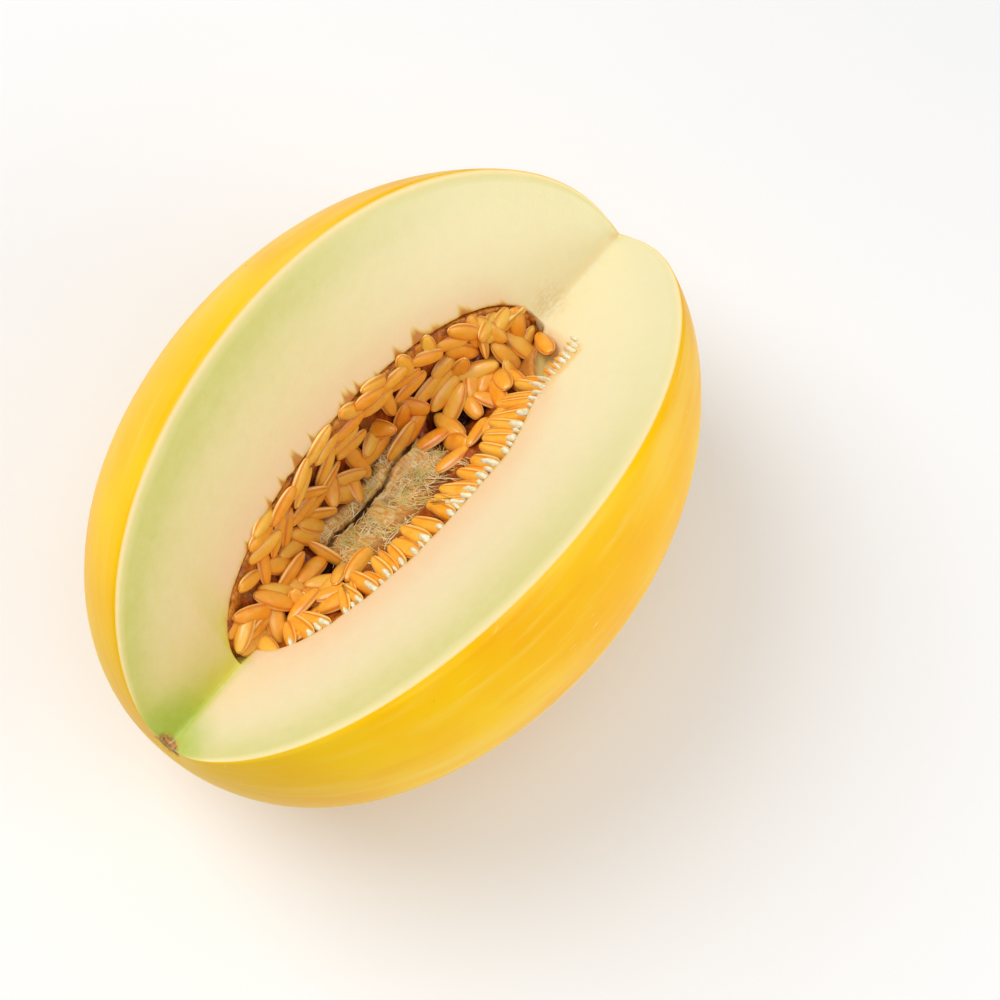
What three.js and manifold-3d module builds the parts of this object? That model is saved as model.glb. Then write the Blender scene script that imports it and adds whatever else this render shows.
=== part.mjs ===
// A ripe canary melon with a quarter cut out of it, lying on its side with the cut upwards.
// The rind and the flesh grew as one piece. The quarter's two cut faces meet along the core and open the
// seed cavity, which holds the pulp (the soft seed tissue) and the seeds: a row that the knife cut through,
// standing in the pulp below one cut face, and whole seeds lying loose on the pulp.
//
// Millimetres, +Z up. +X runs along the core from the stem end to the blossom end, and the missing quarter is
// centred on +Z. The origin is on the surface that the melon rests on, below the middle of its length.
import * as THREE from 'three';
import { mergeVertices } from 'three/addons/utils/BufferGeometryUtils.js';
import Module from 'manifold-3d';

// The fruit.
const fruitLength = 203; // stem end to blossom end, before the dimple takes a millimetre
const fruitDiameter = 147; // at its widest
const stemFullness = 0.062; // how much fuller the stem half is than the blossom half
const endBluntness = 0.015; // how much blunter than an ellipse both ends are
const dimpleRadius = 7; // where the stem came away
const dimpleDepth = 1.6;
const restDepth = 1.2; // how much the fruit's own weight has flattened it underneath

// The cut: two straight cuts along the core.
const cutAngle = 90; // degrees of the fruit that were taken out
const cutBelowCore = 1; // how far the two cuts pass the core before they meet

// The seed cavity, a spindle on the core.
const cavityLength = 134;
const cavityDiameter = 58;
const cavityTowardsStem = 4; // its middle, from the fruit's middle

// The pulp that fills the cavity up to the cut, and the hollow in it.
const pulpBelowCut = 1.6; // how far the pulp has sunk below the cut faces
const hollowLength = 118;
const hollowWidth = 31;
const hollowDepth = 27; // below its own middle
const hollowAboveCore = 16; // its middle
const hollowSideways = 4; // towards +Y, away from the cut seeds
const clearance = 0.3; // between the pulp and the fruit, and between one seed and the next

// The seeds.
const seedLength = 12.6;
const seedWidth = 5;
const seedThickness = 2.3;
const cutSeedCount = 24;
const cutSeedPitch = 4.8; // along the core
const cutSeedDip = 54; // degrees below level at which a cut seed runs down into the pulp
const cutSeedFan = 24; // degrees by which the row's first and last seeds turn towards its middle
const cutSeedLean = 40; // degrees by which its flat sides lean over towards the stem
const cutSeedInset = 2.6; // from the cavity's wall, along the cut face
const cutSeedLost = 1.2; // how much of its length stood above the cut
const wholeSeedCount = 34;
const wholeSeedSpread = 50; // degrees within which they point down the slope below the cut seeds
const strandsFrom = -34; // along the core: the stretch where strands of pulp take the place of whole seeds
const strandsTo = 18;
const strandsSideways = 9; // and how far across the core they reach
const wholeSeedSunk = 0.3; // how deep a whole seed has sunk into the pulp
const pocketMargin = 0.5; // by which a seed's pocket in the pulp is larger than the seed on every side

const wasm = await Module();
wasm.setup();

const rad = THREE.MathUtils.degToRad;
const halfCut = rad(cutAngle / 2);
const coreHeight = fruitDiameter / 2 - restDepth;
const pulpBelowCore = cutBelowCore + pulpBelowCut / Math.sin(halfCut); // where its two slopes would meet

// A closed three.js geometry as a solid.
function solidOf(geometry) {
  const bare = geometry.index ? geometry.toNonIndexed() : geometry.clone();
  bare.deleteAttribute('normal');
  bare.deleteAttribute('uv');
  const merged = mergeVertices(bare, 1e-4);
  return new wasm.Manifold(new wasm.Mesh({
    numProp: 3,
    vertProperties: merged.attributes.position.array,
    triVerts: new Uint32Array(merged.index.array),
  }));
}

// A solid as a named mesh, lifted from the core to the ground that the melon rests on.
function meshOf(solid, name, material) {
  const found = solid.getMesh();
  const points = new Float32Array(found.numVert * 3);
  for (let i = 0; i < found.numVert; i++) {
    points.set(found.vertProperties.subarray(i * found.numProp, i * found.numProp + 3), i * 3);
  }
  const geometry = new THREE.BufferGeometry();
  geometry.setAttribute('position', new THREE.BufferAttribute(points, 3));
  geometry.setIndex(new THREE.BufferAttribute(found.triVerts, 1));
  geometry.translate(0, 0, coreHeight);
  geometry.computeVertexNormals();
  const mesh = new THREE.Mesh(geometry, material);
  mesh.name = name;
  return mesh;
}

// A numbered name: seed, 0 gives seed_01.
function nameOf(kind, index) {
  return `${kind}_${String(index + 1).padStart(2, '0')}`;
}

// A round shape about the X axis, from a list of [x, radius] that starts and ends on the axis, -X end first.
function roundAlongX(outline, segments) {
  const profile = outline.map(([x, radius]) => new THREE.Vector2(Math.max(radius, 0), x));
  return new THREE.LatheGeometry(profile, segments).rotateZ(-Math.PI / 2);
}

// A spindle (an ellipsoid of revolution) on the X axis.
function spindle(length, diameter, rings, segments) {
  const outline = [];
  for (let i = 0; i <= rings; i++) {
    const turn = Math.PI * (1 - i / rings);
    outline.push([length / 2 * Math.cos(turn), i % rings ? diameter / 2 * Math.sin(turn) : 0]);
  }
  return roundAlongX(outline, segments);
}

// The fruit's outline: an ellipse made fuller at the stem end and blunter at both, with a dimple at the stem.
function fruitOutline(steps) {
  const outline = [];
  for (let i = 0; i <= steps; i++) {
    const turn = Math.PI * (1 - i / steps);
    const shape = 1 - stemFullness * Math.cos(turn) - endBluntness * Math.cos(3 * turn);
    outline.push([fruitLength / 2 * Math.cos(turn), i % steps ? Math.sin(turn) * shape : 0]);
  }
  const widest = Math.max(...outline.map(([, radius]) => radius));
  return outline.map(([x, share]) => {
    const radius = fruitDiameter / 2 * share / widest;
    const dimple = x < 0 ? dimpleDepth * Math.exp(-((radius / dimpleRadius) ** 2)) : 0;
    return [x + dimple, radius];
  });
}

// The missing quarter as a long prism whose edge lies the given depth below the core.
function quarter(below) {
  const reach = fruitLength + fruitDiameter;
  const outline = new THREE.Shape([
    new THREE.Vector2(0, -below),
    new THREE.Vector2(Math.sin(halfCut) * reach, Math.cos(halfCut) * reach - below),
    new THREE.Vector2(-Math.sin(halfCut) * reach, Math.cos(halfCut) * reach - below),
  ]);
  const prism = new THREE.ExtrudeGeometry(outline, { depth: 2 * reach, bevelEnabled: false });
  return solidOf(prism.translate(0, 0, -reach).rotateY(Math.PI / 2).rotateX(Math.PI / 2));
}

// The seed cavity's shape, drawn in by a gap on every side.
function cavityShape(gap) {
  const shape = spindle(cavityLength - 2 * gap, cavityDiameter - 2 * gap, 20, 28);
  return solidOf(shape.translate(-cavityTowardsStem, 0, 0));
}

// The fruit, in one piece: outline, less the quarter, the seed cavity and the flat that it rests on.
function fruitBody() {
  const whole = solidOf(roundAlongX(fruitOutline(30), 48));
  const below = new THREE.BoxGeometry(fruitLength, fruitDiameter, fruitDiameter);
  const ground = solidOf(below.translate(0, 0, -coreHeight - fruitDiameter / 2));
  return whole.subtract(quarter(cutBelowCore)).subtract(cavityShape(0)).subtract(ground);
}

// A seed on the X axis, its pointed end at +X, flat in the XY plane.
function seed(length, width, thickness) {
  const rings = 5;
  const outline = [];
  for (let i = 0; i <= rings; i++) {
    const along = i / rings;
    const turn = Math.PI * along;
    const radius = width / 2 * Math.sin(turn) ** 0.8 * (1 - 0.3 * (along - 0.5));
    outline.push([-length / 2 * Math.cos(turn), i % rings ? radius : 0]);
  }
  return roundAlongX(outline, 8).scale(1, 1, thickness / width);
}

// How far the cavity reaches from the core, the given distance along the core.
function cavityRadius(x) {
  const along = (x + cavityTowardsStem) / (cavityLength / 2);
  return cavityDiameter / 2 * Math.sqrt(Math.max(0, 1 - along * along));
}

// Height of the pulp's upper surface above the core: a slope below each cut face, and the hollow between,
// whose middle lies about as high as the slopes' upper ends, so that only its lower half cuts them.
function pulpTop(x, y) {
  const slope = Math.abs(y) / Math.tan(halfCut) - pulpBelowCore;
  const along = (x + cavityTowardsStem) / (hollowLength / 2);
  const across = (y - hollowSideways) / (hollowWidth / 2);
  const inside = 1 - along * along - across * across;
  if (inside <= 0) return slope;
  return Math.min(slope, hollowAboveCore - hollowDepth * Math.sqrt(inside));
}

// A point on the pulp and the direction that the surface faces there, smoothed over a seed's width.
function spotOnPulp(x, y) {
  const reach = seedWidth / 2;
  const alongX = (pulpTop(x + reach, y) - pulpTop(x - reach, y)) / (2 * reach);
  const alongY = (pulpTop(x, y + reach) - pulpTop(x, y - reach)) / (2 * reach);
  return {
    point: new THREE.Vector3(x, y, pulpTop(x, y)),
    facing: new THREE.Vector3(-alongX, -alongY, 1).normalize(),
  };
}

// The matrix of a seed at a centre, its pointed end towards one direction and its flat side facing another.
function poseOf(centre, towards, facing) {
  const long = towards.clone().normalize();
  const wide = new THREE.Vector3().crossVectors(facing, long).normalize();
  const flat = new THREE.Vector3().crossVectors(long, wide);
  return new THREE.Matrix4().makeBasis(long, wide, flat).setPosition(centre);
}

// A seed in its place, grown on every side by a margin.
function placedSeed(pose, margin) {
  const grown = seed(seedLength + 2 * margin, seedWidth + 2 * margin, seedThickness + 2 * margin);
  return solidOf(grown.applyMatrix4(pose));
}

// Poses of the seeds in the row that the knife went through, below the cut face on the -Y side.
function cutSeedPoses() {
  const dip = rad(cutSeedDip);
  const downTheCut = new THREE.Vector3(0, Math.sin(halfCut), -Math.cos(halfCut));
  const poses = [];
  for (let i = 0; i < cutSeedCount; i++) {
    const x = (i - (cutSeedCount - 1) / 2) * cutSeedPitch - cavityTowardsStem;
    const spot = new THREE.Vector3(x, 0, -cutBelowCore);
    spot.addScaledVector(downTheCut, cutSeedInset - cavityRadius(x));
    const fan = rad(cutSeedFan) * (x + cavityTowardsStem) / (cavityLength / 2);
    const towards = new THREE.Vector3(-Math.sin(fan) * Math.cos(dip), Math.cos(fan) * Math.cos(dip), -Math.sin(dip));
    const facing = new THREE.Vector3(-Math.cos(fan), -Math.sin(fan), 0).applyAxisAngle(towards, rad(cutSeedLean));
    poses.push(poseOf(spot.addScaledVector(towards, seedLength / 2 - cutSeedLost), towards, facing));
  }
  return poses;
}

// A repeatable stream of numbers from 0 to 1.
function scatter(seedNumber) {
  let state = seedNumber;
  return () => {
    state = (state + 0x6d2b79f5) | 0;
    let mixed = Math.imul(state ^ (state >>> 15), 1 | state);
    mixed ^= mixed + Math.imul(mixed ^ (mixed >>> 7), 61 | mixed);
    return ((mixed ^ (mixed >>> 14)) >>> 0) / 4294967296;
  };
}

// Poses of the whole seeds: each falls on a chance spot of the pulp and stays where it clears the fruit and
// the seeds that lie there. None lies among the strands, halfway along the hollow. On the slope below
// the cut seeds they point down the slope; elsewhere they lie any way round.
function wholeSeedPoses(fruit, cutSeeds) {
  const chance = scatter(7);
  const lying = [fruit, ...cutSeeds];
  const poses = [];
  for (let tries = 0; poses.length < wholeSeedCount && tries < 4000; tries++) {
    const x = (chance() - 0.5) * cavityLength - cavityTowardsStem;
    const room = cavityRadius(x) * Math.sin(halfCut);
    const y = (2 * chance() - 1) * room;
    const turn = chance();
    if (x > strandsFrom && x < strandsTo && y < strandsSideways) continue;
    const { point, facing } = spotOnPulp(x, y);
    const onSlope = x > strandsTo && y < hollowSideways;
    const yaw = onSlope ? rad(90 + wholeSeedSpread * (turn - 0.5)) : 2 * Math.PI * turn;
    const level = new THREE.Vector3(Math.cos(yaw), Math.sin(yaw), 0);
    const towards = level.addScaledVector(facing, -level.dot(facing));
    const pose = poseOf(point.addScaledVector(facing, seedThickness / 2 - wholeSeedSunk), towards, facing);
    const candidate = placedSeed(pose, 0);
    if (lying.some((other) => other.minGap(candidate, 2 * clearance) < clearance)) continue;
    lying.push(candidate);
    poses.push(pose);
  }
  return poses;
}

// The pulp: the cavity's filling, less the quarter, the hollow and a close pocket around every seed.
function pulpBody(poses) {
  const hollow = spindle(hollowLength, hollowWidth, 16, 20).scale(1, 1, 2 * hollowDepth / hollowWidth);
  const pockets = wasm.Manifold.union(poses.map((pose) => placedSeed(pose, pocketMargin)));
  return cavityShape(clearance)
    .subtract(quarter(pulpBelowCore))
    .subtract(solidOf(hollow.translate(-cavityTowardsStem, hollowSideways, hollowAboveCore)))
    .subtract(pockets);
}

const fleshMaterial = new THREE.MeshStandardMaterial({ color: 0xe8b83a, roughness: 0.45, metalness: 0 });
const pulpMaterial = new THREE.MeshStandardMaterial({ color: 0xd99a52, roughness: 0.3, metalness: 0 });
const seedMaterial = new THREE.MeshStandardMaterial({ color: 0xe3a24c, roughness: 0.35, metalness: 0 });
const kernelMaterial = new THREE.MeshStandardMaterial({ color: 0xf0e3c4, roughness: 0.5, metalness: 0 });

const fruit = fruitBody();
const rowPoses = cutSeedPoses();
const cutSeeds = rowPoses.map((pose) => placedSeed(pose, 0).subtract(quarter(cutBelowCore)));
const loosePoses = wholeSeedPoses(fruit, cutSeeds);

const group = new THREE.Group();
group.name = 'cut_melon';
group.add(meshOf(fruit, 'melon_body', fleshMaterial));
group.add(meshOf(pulpBody([...rowPoses, ...loosePoses]), 'seed_pulp', pulpMaterial));
cutSeeds.forEach((solid, i) => group.add(meshOf(solid, nameOf('cut_seed', i), kernelMaterial)));
loosePoses.forEach((pose, i) => {
  group.add(meshOf(placedSeed(pose, 0), nameOf('whole_seed', i), seedMaterial));
});

export default group;
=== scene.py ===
import math

import bpy
import numpy as np
from mathutils import Matrix, Vector


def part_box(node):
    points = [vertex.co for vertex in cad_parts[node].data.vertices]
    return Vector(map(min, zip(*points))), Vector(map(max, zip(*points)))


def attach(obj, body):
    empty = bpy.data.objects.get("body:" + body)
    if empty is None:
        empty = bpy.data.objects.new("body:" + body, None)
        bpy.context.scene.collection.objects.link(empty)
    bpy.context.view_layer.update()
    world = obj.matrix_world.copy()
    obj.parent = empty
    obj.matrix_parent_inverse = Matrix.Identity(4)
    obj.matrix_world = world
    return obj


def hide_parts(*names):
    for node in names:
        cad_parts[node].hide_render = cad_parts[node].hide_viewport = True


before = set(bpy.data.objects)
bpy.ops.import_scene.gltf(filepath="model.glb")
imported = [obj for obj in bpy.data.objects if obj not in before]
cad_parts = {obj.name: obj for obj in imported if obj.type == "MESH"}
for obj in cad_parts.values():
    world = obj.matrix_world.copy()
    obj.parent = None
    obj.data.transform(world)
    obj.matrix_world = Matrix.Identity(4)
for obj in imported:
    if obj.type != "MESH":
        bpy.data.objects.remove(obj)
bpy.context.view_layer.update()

mm = 0.001


def rgb(red, green, blue):
    # a colour as painters' programs give it, 0 to 255, turned into the linear values that shaders use
    parts = np.array([red, green, blue]) / 255
    linear = np.where(parts < 0.04045, parts / 12.92, ((parts + 0.055) / 1.055) ** 2.4)
    return (*linear.tolist(), 1.0)


def ease(values):
    # 0 below 0, 1 above 1, and a soft S between
    held = np.clip(values, 0, 1)
    return held * held * (3 - 2 * held)


def lumps(points, size, seed):
    # smooth chance values from -1 to 1: each corner of a lattice of cells has its own value, and a point
    # gets the eight around it, shared out by how near it is to each
    cell = np.floor(points / size)
    part = ease(points / size - cell)
    total = np.zeros(points.shape[:-1])
    for corner in np.ndindex(2, 2, 2):
        mixed = np.sin((cell + corner) @ np.array([127.1, 311.7, 74.7]) + seed * 13.37) * 43758.5453
        weight = np.prod(np.where(np.array(corner) == 1, part, 1 - part), axis=-1)
        total += weight * (2 * (mixed - np.floor(mixed)) - 1)
    return total


def gridPiece(name, grids, materials, bands=None, values=None):
    # closed skins over grids of points, shaped (how many, rows, columns, 3): every row is a ring, and the
    # first and the last row shrink to a pole. bands gives each column its material.
    grids = np.asarray(grids, float)
    count, rows, cols = grids.shape[:3]

    def flat(field):
        poles = field[:, :1].mean(2), field[:, -1:].mean(2)
        body = field[:, 1:-1].reshape(count, (rows - 2) * cols, -1)
        return np.concatenate([poles[0].reshape(count, 1, -1), body, poles[1].reshape(count, 1, -1)], 1)

    ring = np.arange(cols)
    after = np.roll(ring, -1)
    start = 1 + np.arange(rows - 3)[:, None] * cols
    quads = np.stack([start + ring, start + after, start + cols + after, start + cols + ring], -1)
    quads = quads.reshape(-1, 4)
    last = 1 + (rows - 3) * cols
    size = last + cols + 1
    headFan = np.stack([np.zeros(cols, int), 1 + after, 1 + ring], -1)
    tailFan = np.stack([np.full(cols, size - 1), last + ring, last + after], -1)
    verts = flat(grids)
    corners = verts[:, quads]
    volume = np.einsum("nfi,nfi->", corners[:, :, 0], np.cross(corners[:, :, 1], corners[:, :, 2]))
    volume += np.einsum("nfi,nfi->", corners[:, :, 0], np.cross(corners[:, :, 2], corners[:, :, 3]))
    if volume < 0:
        quads, headFan, tailFan = quads[:, ::-1], headFan[:, ::-1], tailFan[:, ::-1]
    shift = np.arange(count)[:, None, None] * size
    faces = (quads + shift).reshape(-1, 4).tolist()
    faces += (headFan + shift).reshape(-1, 3).tolist() + (tailFan + shift).reshape(-1, 3).tolist()

    mesh = bpy.data.meshes.new(name)
    mesh.from_pydata(verts.reshape(-1, 3), [], faces)
    for material in materials:
        mesh.materials.append(material)
    if bands is not None:
        bands = np.asarray(bands, np.int32)
        index = np.concatenate([np.tile(bands, count * (rows - 3)), np.tile(bands, 2 * count)])
        mesh.polygons.foreach_set("material_index", index)
    for key, field in (values or {}).items():
        field = np.asarray(field, float)
        vector = field.ndim == 4
        attribute = mesh.attributes.new(key, "FLOAT_VECTOR" if vector else "FLOAT", "POINT")
        held = flat(field if vector else field[..., None]).astype(np.float32)
        attribute.data.foreach_set("vector" if vector else "value", held.ravel())
    mesh.polygons.foreach_set("use_smooth", np.ones(len(mesh.polygons), bool))
    mesh.update()
    piece = bpy.data.objects.new(name, mesh)
    bpy.context.scene.collection.objects.link(piece)
    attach(piece, "root")
    return piece


def newMaterial(name, roughness, specular=0.5):
    # a Principled material, with its node tree and its shader
    material = bpy.data.materials.new(name)
    material.use_nodes = True
    shader = material.node_tree.nodes["Principled BSDF"]
    shader.inputs["Roughness"].default_value = roughness
    shader.inputs["Specular IOR Level"].default_value = specular
    return material, material.node_tree, shader


def plug(tree, socket, value):
    # a socket is linked, anything else is set
    if isinstance(value, bpy.types.NodeSocket):
        tree.links.new(value, socket)
    else:
        socket.default_value = value


def addNode(tree, kind, inputs=(), **settings):
    # a node with its settings and what its inputs get
    node = tree.nodes.new("ShaderNode" + kind)
    for key, value in settings.items():
        setattr(node, key, value)
    for key, value in dict(inputs).items():
        plug(tree, node.inputs[key], value)
    return node


def mix(tree, share, first, second):
    # first + share * (second - first), for colours
    node = addNode(tree, "Mix", {0: share, 6: first, 7: second}, data_type="RGBA")
    return node.outputs[2]


def ramp(tree, value, stops):
    # the colour between the two stops that the value lies between
    node = addNode(tree, "ValToRGB", {"Fac": value})
    points = node.color_ramp.elements
    while len(points) < len(stops):
        points.new(0.5)
    for point, (place, colour) in zip(points, stops):
        point.position = place
        point.color = colour
    return node.outputs["Color"]


def noise(tree, place, size, detail=3.0, roughness=0.5, spread=None):
    # chance values about one size in metres; spread gives the values that become 0 and 1
    inputs = {"Vector": place, "Scale": 1 / size, "Detail": detail, "Roughness": roughness}
    node = addNode(tree, "TexNoise", inputs)
    if spread is None:
        return node.outputs["Fac"]
    return span(tree, node.outputs["Fac"], spread[0], spread[1], 0, 1)


def span(tree, value, low, high, newLow, newHigh, smooth=False):
    # low..high becomes newLow..newHigh, held at both ends; smooth puts an S between them
    kind = "SMOOTHSTEP" if smooth else "LINEAR"
    inputs = {"Value": value, 1: low, 2: high, 3: newLow, 4: newHigh}
    return addNode(tree, "MapRange", inputs, interpolation_type=kind).outputs["Result"]


def sums(tree, operation, first, second=0.0):
    return addNode(tree, "Math", {0: first, 1: second}, operation=operation).outputs["Value"]


def times(tree, first, second):
    # first * second
    return sums(tree, "MULTIPLY", first, second)


def distanceTo(tree, place, spot):
    # how far a place is from a spot, in metres
    return addNode(tree, "VectorMath", {0: place, 1: spot}, operation="DISTANCE").outputs["Value"]


def attribute(tree, name, output="Fac"):
    # a value that the mesh holds at each point
    return addNode(tree, "Attribute", attribute_name=name).outputs[output]


def objectPlace(tree, stretch=(1, 1, 1)):
    # the place in the object's own axes, times a stretch along each
    place = addNode(tree, "TexCoord").outputs["Object"]
    return addNode(tree, "Mapping", {"Vector": place, "Scale": stretch}).outputs["Vector"]


def bumpOf(tree, shader, height, distance, strength=1.0):
    # the normal tilts by the slope of height * distance
    bump = addNode(tree, "Bump", {"Height": height, "Distance": distance, "Strength": strength})
    tree.links.new(bump.outputs["Normal"], shader.inputs["Normal"])


def softInside(shader, weight, scale, radius=(1.0, 0.6, 0.3)):
    # light that sinks in and comes out again a little further on
    shader.inputs["Subsurface Weight"].default_value = weight
    shader.inputs["Subsurface Scale"].default_value = scale
    shader.inputs["Subsurface Radius"].default_value = radius


fruitLow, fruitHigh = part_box("melon_body")
melon = dict(
    length=2 * fruitHigh.x, diameter=fruitHigh.y - fruitLow.y, restDepth=1.2 * mm,
    stemFullness=0.062, endBluntness=0.015, dimpleRadius=7 * mm, dimpleDepth=1.6 * mm,
    cutBelowCore=1 * mm, cavityLength=134 * mm, cavityDiameter=58 * mm, cavityTowardsStem=4 * mm,
)
coreHeight = melon["diameter"] / 2 - melon["restDepth"]
creaseHeight = coreHeight - melon["cutBelowCore"]
diagonal = math.sqrt(0.5)  # both cut faces lean at 45 degrees
cutNormal = np.array([0, diagonal, diagonal])  # out of the -Y cut


def cavityRadius(x):
    # half the cavity's diameter times the root of 1 - along squared
    along = (x + melon["cavityTowardsStem"]) / (melon["cavityLength"] / 2)
    return melon["cavityDiameter"] / 2 * np.sqrt(np.clip(1 - along ** 2, 0, None))


def rowReach(x):
    # how far from the core, along the -Y cut, the row of cut seeds stands: a reach times the root of
    # 1 - along ^ power, with power 2 at the stem end and 4.6 at the flower end, where it also steps in
    along = np.abs(x - 1 * mm) / (66 * mm)
    curve = 27.8 * mm * np.sqrt(np.clip(1 - along ** np.where(x > 1 * mm, 4.6, 2.0), 0, None))
    return np.minimum(curve, 20.6 * mm + 7.2 * mm * (1 - ease((x - 14 * mm) / (28 * mm))))


def openness(x):
    # 0 where the two cuts meet in a crease, 1 along the cavity, soft between
    middle, half = -melon["cavityTowardsStem"], melon["cavityLength"] / 2
    return ease((x - middle + half) / (8 * mm)) * ease((middle + half - x) / (8 * mm))


def plusEdge(x):
    # where the +Y cut meets the cavity's wall, as a distance along the cut from where the two cuts meet
    below = melon["cutBelowCore"]
    inner = cavityRadius(x)
    edge = diagonal * below + np.sqrt(np.clip(inner ** 2 - below ** 2 / 2, 0, None))
    return np.where(inner > below, edge, 0)


def minusEdge(x):
    # the same on the -Y cut, where the flesh reaches up to the cut seeds, and at the flower end past them
    shelf = 0.62 * ease((x - 35 * mm) / (19 * mm))
    return np.minimum(plusEdge(x), rowReach(x)) * (1 - shelf)


def wallPoint(x, share, grow=0.0):
    # the cavity's wall, from the +Y cut (share 0) round underneath to the -Y cut (share 1): an angle and a
    # radius about the core, the radius drawn in towards the -Y cut's edge
    below = melon["cutBelowCore"]
    far = plusEdge(x), minusEdge(x)
    angles = [np.arctan2(each * diagonal + 1e-6, each * diagonal - below) for each in far]
    last = np.hypot(far[1] * diagonal, far[1] * diagonal - below)
    inner = cavityRadius(x)
    radius = inner + (last - inner) * ease((share - 0.5) / 0.5) + grow
    angle = angles[0] + share * (2 * math.pi - angles[1] - angles[0])
    return radius * np.sin(angle), radius * np.cos(angle)


def outlineAt(turn):
    # an ellipse, made fuller at the stem end and blunter at both, with a dimple where the stem came away
    def share(t):
        return np.sin(t) * (1 - melon["stemFullness"] * np.cos(t) - melon["endBluntness"] * np.cos(3 * t))

    radius = melon["diameter"] / 2 * share(turn) / share(np.linspace(0, math.pi, 999)).max()
    x = melon["length"] / 2 * np.cos(turn)
    dimple = melon["dimpleDepth"] * np.exp(-(radius / melon["dimpleRadius"]) ** 2)
    return x + np.where(x < 0, dimple, 0), radius


def towardsPoint(turns, where, width, strength, count):
    # count values from the first to the last turn, packed closer around some places
    fine = np.linspace(turns[0], turns[1], 4000)
    density = 1 + sum(strength * np.exp(-((fine - spot) / width) ** 2) for spot in where)
    total = np.concatenate([[0], np.cumsum((density[1:] + density[:-1]) / 2)])
    return np.interp(np.linspace(0, total[-1], count), total, fine)


fruitLook = dict(
    rows=380, rindColumns=92, faceColumns=50, cavityColumns=30,
    unevenness=0.35 * mm, knifeMarks=0.10 * mm, creaseRound=1.5 * mm,
    shelfRoll=6 * mm, tornEdge=1.0 * mm,
)


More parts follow.
